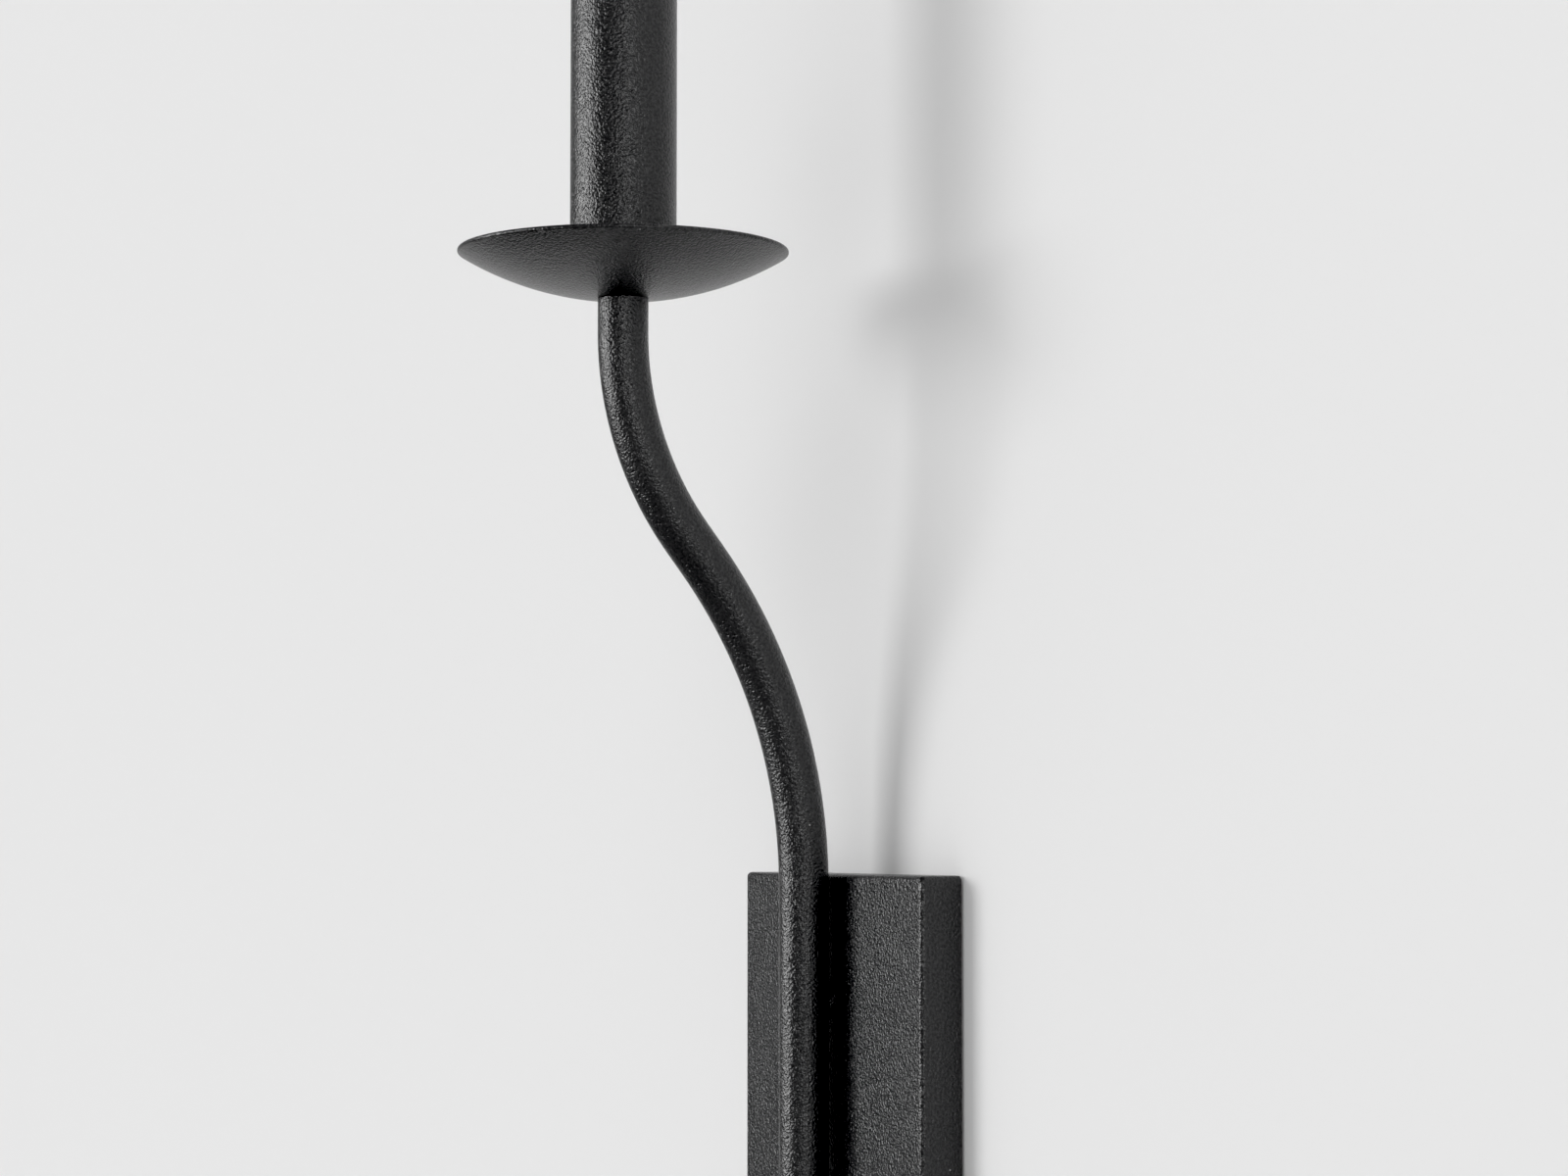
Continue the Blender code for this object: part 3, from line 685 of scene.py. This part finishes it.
def make_nut(name, node, thread, material):
    """Hexagon with chamfered corners on both faces and a countersunk bore."""
    low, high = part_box(node)
    width = high.y - low.y
    reach = width / math.sqrt(3) + SMALL_EDGE
    face = width / 2 * NUT_FACE_SHARE
    slope = (reach - face) * math.tan(NUT_CHAMFER)
    place = upright(middle(node))
    nut = prism(name, hexagon_outline(width), low.z, high.z, place)
    chamfers = turned("chamfers", [(0, low.z), (face, low.z), (reach, low.z + slope),
                                   (reach, high.z - slope), (face, high.z), (0, high.z)], place)
    carve(nut, chamfers, 'INTERSECT')
    bore = thread[0] + GAP
    sink = thread[1] / 2
    beyond = width
    bore_shape = [(0, low.z - beyond), (bore + sink + beyond, low.z - beyond), (bore, low.z + sink),
                  (bore, high.z - sink), (bore + sink + beyond, high.z + beyond), (0, high.z + beyond)]
    carve(nut, turned("bore", bore_shape, place))
    stand_for(nut, node, material)


# ---------------------------------------------------------------- finishes

def plug(tree, socket, value):
    """Link an output socket to this input, or set the input's value."""
    if isinstance(value, bpy.types.NodeSocket):
        tree.links.new(value, socket)
    else:
        socket.default_value = value


class Nodes:
    """A short way to write a material's node tree."""

    def __init__(self, name):
        self.material = bpy.data.materials.new(name)
        self.material.use_nodes = True
        self.tree = self.material.node_tree
        self.shader = self.tree.nodes["Principled BSDF"]

    def add(self, kind, **settings):
        node = self.tree.nodes.new(kind)
        for key, value in settings.items():
            setattr(node, key, value)
        return node

    def feed(self, target, **inputs):
        """Plug inputs by name, with underscores for spaces."""
        for key, value in inputs.items():
            plug(self.tree, target.inputs[key.replace("_", " ")], value)

    def millimetres(self):
        """Object coordinates in millimetres."""
        where = self.add("ShaderNodeTexCoord")
        scale = self.add("ShaderNodeVectorMath", operation='SCALE')
        self.feed(scale, Vector=where.outputs["Object"], Scale=1 / MM)
        return scale.outputs["Vector"]

    def noise(self, vector, per_mm, detail=2.0, roughness=0.5):
        node = self.add("ShaderNodeTexNoise")
        self.feed(node, Vector=vector, Scale=per_mm, Detail=detail, Roughness=roughness)
        return node.outputs["Fac"]

    def maths(self, operation, a, b):
        node = self.add("ShaderNodeMath", operation=operation)
        for socket, value in zip(node.inputs, (a, b)):
            plug(self.tree, socket, value)
        return node.outputs["Value"]

    def ramp(self, value, low, high, out_low, out_high):
        node = self.add("ShaderNodeMapRange")
        self.feed(node, Value=value, From_Min=low, From_Max=high, To_Min=out_low, To_Max=out_high)
        return node.outputs["Result"]

    def grey_mix(self, factor, first, second):
        node = self.add("ShaderNodeMix", data_type='RGBA')
        plug(self.tree, node.inputs["Factor"], factor)
        for socket, colour in ((node.inputs[6], first), (node.inputs[7], second)):
            plug(self.tree, socket, (*colour, 1) if isinstance(colour, tuple) else colour)
        return node.outputs[2]

    def bump(self, height, depth_mm, before=None):
        node = self.add("ShaderNodeBump")
        self.feed(node, Height=height, Distance=depth_mm * MM, Strength=1.0)
        if before is not None:
            self.feed(node, Normal=before)
        return node.outputs["Normal"]


def powder_coat():
    """Black powder coat with a fine wrinkle, ridges and creases about a millimetre apart, and dust."""
    n = Nodes("powder_coat")
    where = n.millimetres()
    swell = n.noise(where, 0.14, detail=1.0)
    ridges = n.noise(where, 1.5, detail=1.5, roughness=0.6)
    creases = n.maths('ABSOLUTE', n.maths('SUBTRACT', n.noise(where, 1.25, detail=0.0), 0.5), 0.0)
    normal = n.bump(swell, 0.08)
    normal = n.bump(ridges, 0.29, normal)
    normal = n.bump(creases, 0.18, normal)
    tone = n.noise(where, 0.05, detail=2.0)
    colour = n.grey_mix(tone, (0.007, 0.007, 0.008), (0.010, 0.010, 0.011))
    # One speck of dust in each chosen cell, a fraction of a millimetre across
    dust = n.add("ShaderNodeTexVoronoi", feature='F1')
    n.feed(dust, Vector=where, Scale=0.30)
    near = n.ramp(dust.outputs["Distance"], 0.07, 0.05, 0.0, 1.0)
    chosen = n.maths('GREATER_THAN', dust.outputs["Color"], 0.72)
    speck = n.maths('MULTIPLY', near, chosen)
    colour = n.grey_mix(speck, colour, (0.40, 0.40, 0.40))
    n.feed(n.shader, Base_Color=colour, Roughness=n.ramp(ridges, 0.3, 0.7, 0.28, 0.31), Normal=normal)
    n.feed(n.shader, IOR=1.56, Specular_IOR_Level=n.ramp(ridges, 0.38, 0.62, 0.42, 0.66))
    return n.material


def zinc_plate():
    """Bright zinc plating: soft blotches and fine scratches along the strap."""
    n = Nodes("zinc_plated_steel")
    where = n.millimetres()
    stretched = n.add("ShaderNodeVectorMath", operation='MULTIPLY')
    plug(n.tree, stretched.inputs[0], where)
    plug(n.tree, stretched.inputs[1], (6.0, 6.0, 0.35))
    lines = n.noise(stretched.outputs["Vector"], 1.0, detail=3.0, roughness=0.65)
    blotch = n.noise(where, 0.12, detail=4.0, roughness=0.6)
    colour = n.grey_mix(blotch, (0.52, 0.53, 0.55), (0.70, 0.71, 0.72))
    roughness = n.maths('ADD', n.ramp(lines, 0.3, 0.7, 0.24, 0.36), n.ramp(blotch, 0.3, 0.7, 0.0, 0.08))
    n.feed(n.shader, Base_Color=colour, Metallic=1.0, Roughness=roughness)
    n.feed(n.shader, Normal=n.bump(lines, 0.012, n.bump(blotch, 0.05)))
    return n.material


def black_oxide():
    """Smooth black oxide on a screw, with a warm cast where it's thin."""
    n = Nodes("blackened_steel")
    where = n.millimetres()
    blotch = n.noise(where, 0.8, detail=4.0, roughness=0.65)
    fine = n.noise(where, 9.0, detail=2.0)
    colour = n.grey_mix(blotch, (0.022, 0.022, 0.024), (0.055, 0.050, 0.045))
    n.feed(n.shader, Base_Color=colour, Metallic=0.6, Roughness=n.ramp(blotch, 0.3, 0.7, 0.30, 0.46))
    n.feed(n.shader, Normal=n.bump(fine, 0.01))
    return n.material


def matt_paint(name, steps_aside):
    """Pale matt paint with a roller's faint stipple. A wall that steps aside is clear from behind."""
    n = Nodes(name)
    where = n.millimetres()
    stipple = n.noise(where, 0.35, detail=3.0)
    drift = n.noise(where, 0.002, detail=1.0)
    colour = n.grey_mix(drift, (PALE, PALE, PALE), (PALE + 0.01, PALE + 0.01, PALE + 0.01))
    n.feed(n.shader, Base_Color=colour, Roughness=0.85, Specular_IOR_Level=0.0)
    n.feed(n.shader, Normal=n.bump(stipple, 0.02))
    if steps_aside:
        eye = n.add("ShaderNodeVectorTransform", vector_type='POINT')
        eye.convert_from, eye.convert_to = 'CAMERA', 'WORLD'
        n.feed(eye, Vector=(0, 0, 0))
        parts = n.add("ShaderNodeSeparateXYZ")
        n.feed(parts, Vector=eye.outputs[0])
        behind = n.maths('GREATER_THAN', parts.outputs["Y"], 0.0)
        clear = n.add("ShaderNodeBsdfTransparent")
        either = n.add("ShaderNodeMixShader")
        for socket, value in zip(either.inputs, (behind, n.shader.outputs[0], clear.outputs[0])):
            plug(n.tree, socket, value)
        n.feed(n.tree.nodes["Material Output"], Surface=either.outputs[0])
    return n.material


# ---------------------------------------------------------------- stage, light and camera

def make_stage():
    """A wall with a cove, and a floor on both sides of the wall that throws no light back."""
    floor = CAD_BOUNDS[0].z - FLOOR_DROP
    profile = []
    for step in range(COVE_STEPS + 1):
        angle = math.radians(90) * step / COVE_STEPS
        profile.append((COVE * (1 - math.sin(angle)) - WALL_BEHIND, floor + COVE * (1 - math.cos(angle))))
    profile.append((-WALL_BEHIND, WALL_TOP))
    bm = bmesh.new()
    rows = [[bm.verts.new((x, -depth, height)) for x in (-FLOOR_REACH, FLOOR_REACH)]
            for depth, height in profile]
    skin(bm, rows, closed_rows=False)
    wall = new_piece("studio_wall", bm)
    bm = bmesh.new()
    corners = [(-FLOOR_REACH, -FLOOR_REACH), (FLOOR_REACH, -FLOOR_REACH),
               (FLOOR_REACH, FLOOR_REACH), (-FLOOR_REACH, FLOOR_REACH)]
    bm.faces.new([bm.verts.new((x, y, floor)) for x, y in corners])
    ground = new_piece("studio_floor", bm)
    ground.visible_diffuse = False
    ground.visible_glossy = False
    wall.data.materials.append(matt_paint("wall_paint", steps_aside=True))
    ground.data.materials.append(matt_paint("floor_paint", steps_aside=False))
    for obj in (wall, ground):
        obj.data.shade_smooth()


def shine_from(name, kind, azimuth, elevation, distance):
    """A light that faces the object; angles are in degrees, azimuth from the front towards +X."""
    target = (CAD_BOUNDS[0] + CAD_BOUNDS[1]) / 2
    across, up = math.radians(azimuth), math.radians(elevation)
    away = Vector((math.sin(across) * math.cos(up), -math.cos(across) * math.cos(up), math.sin(up)))
    lamp = bpy.data.objects.new(name, bpy.data.lights.new(name, kind))
    lamp.location = target + away * distance
    lamp.rotation_euler = away.to_track_quat('Z', 'Y').to_euler()
    lamp.visible_camera = False
    bpy.context.scene.collection.objects.link(lamp)
    return lamp


def far_light(name, azimuth, elevation, diameter, strength):
    """A round light so far off that it lights the wall evenly; its diameter is an angle."""
    lamp = shine_from(name, 'SUN', azimuth, elevation, SUN_DISTANCE)
    lamp.data.angle = math.radians(diameter)
    lamp.data.energy = strength
    return lamp


def softbox(name, azimuth, elevation, distance, width, height, power):
    """A rectangular light, with its size in metres and its power in watts."""
    lamp = shine_from(name, 'AREA', azimuth, elevation, distance)
    lamp.data.shape = 'RECTANGLE'
    lamp.data.size = width
    lamp.data.size_y = height
    lamp.data.energy = power
    return lamp


def make_lamps():
    """Key and shadowless fill for the wall, two softboxes that the coat mirrors, two at the rear."""
    key = far_light("key", -31, 8.5, 29, 1.36)
    fill = far_light("fill", 30, 50, 40, 0.70)
    fill.data.use_shadow = False
    for lamp in (key, fill):
        lamp.visible_glossy = False
    gleam = softbox("gleam", -26.5, 7, GLEAM_DISTANCE, 1.75, 1.5, 60.0)
    side_gleam = softbox("side_gleam", 68, 8, GLEAM_DISTANCE, 1.1, 0.9, 16.0)
    for lamp in (gleam, side_gleam):
        lamp.visible_diffuse = False
    softbox("rear", 150, 35, REAR_DISTANCE, 1.6, 1.2, 30.0)
    softbox("rear_side", -140, 15, REAR_DISTANCE, 0.8, 1.6, 16.0)


def make_room():
    """A world whose brightness goes by direction where it's mirrored, and is even where it lights."""
    world = bpy.data.worlds.new("studio")
    world.use_nodes = True
    tree = world.node_tree
    room = tree.nodes["Background"]
    plug(tree, room.inputs["Color"], (1, 1, 1, 1))
    path = tree.nodes.new("ShaderNodeLightPath")
    way = tree.nodes.new("ShaderNodeTexCoord")
    parts = tree.nodes.new("ShaderNodeSeparateXYZ")
    plug(tree, parts.inputs[0], way.outputs["Generated"])

    def blend(factor, low, high, factor_low=0.0, factor_high=1.0):
        node = tree.nodes.new("ShaderNodeMapRange")
        for key, value in (("Value", factor), ("From Min", factor_low), ("From Max", factor_high),
                           ("To Min", low), ("To Max", high)):
            plug(tree, node.inputs[key], value)
        return node.outputs["Result"]

    left = blend(parts.outputs["Y"], ROOM_SIDE, ROOM_LEFT, -0.10, -0.45)
    right = blend(parts.outputs["Z"], ROOM_LOW, ROOM_RIGHT, -0.5, 0.1)
    level = blend(parts.outputs["X"], left, right, -0.85, 0.0)
    level = blend(parts.outputs["Z"], ROOM_FLOOR, level, -0.95, -0.5)
    reflected = blend(parts.outputs["Y"], level, ROOM_BEHIND, 0.0, 0.2)
    lit = blend(path.outputs["Is Glossy Ray"], ROOM_LIGHT, reflected)
    seen = blend(path.outputs["Is Camera Ray"], lit, ROOM_SEEN)
    plug(tree, room.inputs["Strength"], seen)
    bpy.context.scene.world = world


def set_tones():
    """Plain tones, with the darkest light shown as black."""
    view = bpy.context.scene.view_settings
    view.view_transform = 'Standard'
    view.use_curve_mapping = True
    view.curve_mapping.black_level = (BLACK, BLACK, BLACK)


def make_camera():
    back = Vector((math.sin(VIEW_AZIMUTH), -math.cos(VIEW_AZIMUTH), 0))
    right = Vector((math.cos(VIEW_AZIMUTH), math.sin(VIEW_AZIMUTH), 0))
    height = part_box("back_plate")[1].z + EYE_ABOVE_PLATE
    camera = bpy.data.objects.new("camera", bpy.data.cameras.new("camera"))
    camera.location = back * VIEW_DISTANCE + right * VIEW_SIDESTEP + Vector((0, 0, height))
    camera.rotation_euler = (math.pi / 2 + VIEW_PITCH, 0, VIEW_AZIMUTH)
    camera.data.lens = LENS_MM
    camera.data.sensor_width = 36.0
    camera.data.clip_start = 0.01
    bpy.context.scene.collection.objects.link(camera)
    bpy.context.scene.camera = camera


def build():
    coat = powder_coat()
    zinc = zinc_plate()
    dark = black_oxide()
    make_bracket_strap(zinc)
    make_nut("lock_nut", "bracket_nut", M3, zinc)
    make_plate_shell(coat)
    make_doubler_bar(coat)
    make_cleat_strap(coat)
    make_arm_rod(coat)
    make_rod_spacers(coat)
    make_screws(zinc, dark)
    make_washers(zinc)
    dish_centre = make_drip_bowl(coat)
    make_spigot_cup(zinc, dish_centre)
    make_threaded_stud(zinc)
    make_spring_washer(zinc)
    make_nut("stud_hex_nut", "stud_nut", M6, zinc)
    make_tube_shell(coat)
    make_seat_cup(zinc)
    make_stage()
    make_lamps()
    make_room()
    set_tones()
    make_camera()


build()
